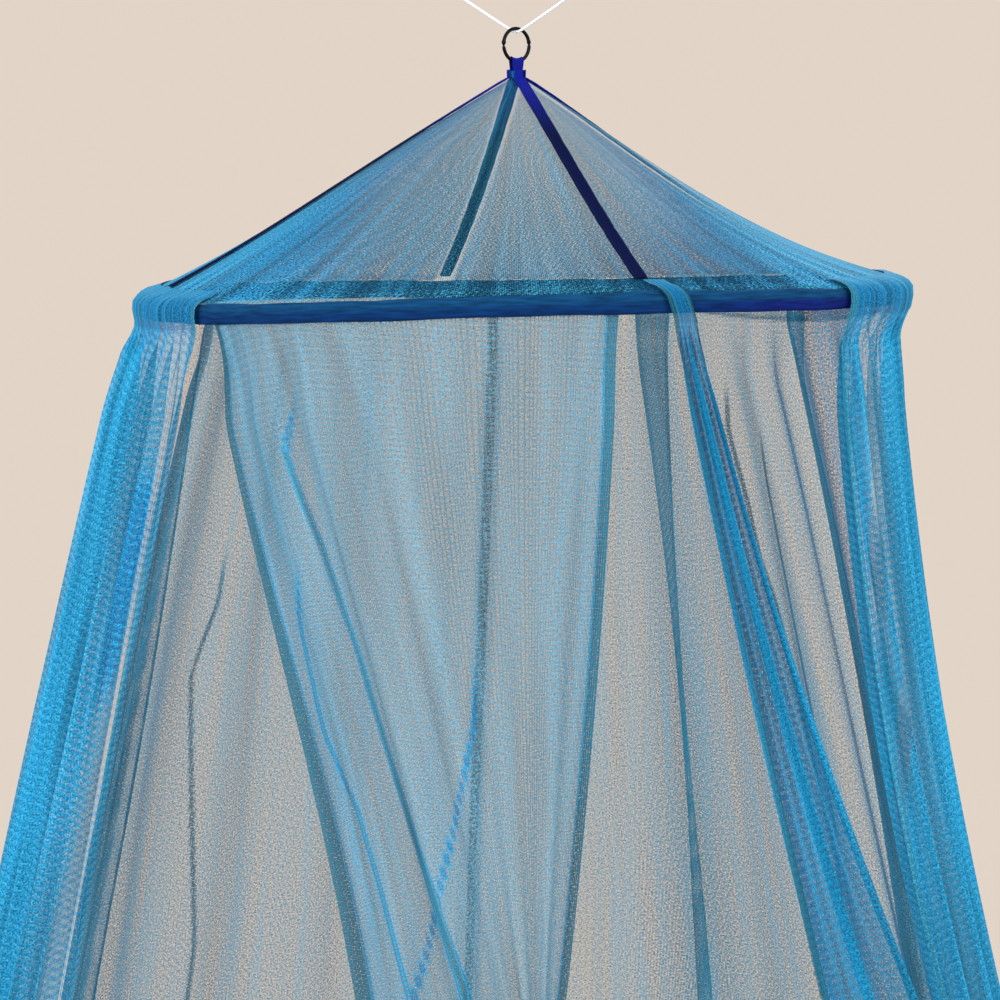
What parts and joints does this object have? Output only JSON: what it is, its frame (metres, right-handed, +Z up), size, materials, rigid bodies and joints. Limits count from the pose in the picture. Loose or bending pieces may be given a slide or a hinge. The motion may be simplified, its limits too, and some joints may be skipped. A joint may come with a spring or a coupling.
{
  "type": "hoop bed canopy net with hanging ring",
  "caption": "Blue net bed canopy on a round hoop: shallow cone crown with navy tapes, a navy sleeve, long gathered walls open at the front, hung by a ring and a white cord.",
  "frame": {"origin": "inside top of the hanging ring, where the cord carries it", "axes": "+Z up, the front openings face -Y, +X to the right seen from the front"},
  "size_m": [1.4539, 1.3538, 2.4466],
  "materials": {
    "net": "fine knitted polyester net, matt threads, see-through",
    "webbing": "woven navy tape",
    "ring": "glossy black",
    "hoop_wire": "round coated wire, hidden in the sleeve",
    "cord": "thin twisted white cord"
  },
  "bodies": {
    "root": {"crown_left_front": "net", "crown_front_right": "net", "crown_right_back": "net", "crown_back_left": "net", "wall_front": "net", "wall_front_right": "net", "wall_right": "net", "wall_back_right": "net", "wall_back_left": "net", "wall_left": "net", "apex_loop": "webbing", "hoop_sleeve": "webbing", "tape_left": "webbing", "tape_front": "webbing", "tape_right": "webbing", "tape_back": "webbing", "hanging_ring": "ring", "hoop": "hoop_wire", "hanging_cord": "cord", "cord_knot_left": "cord", "cord_knot_right": "cord"}
  },
  "joints": []
}
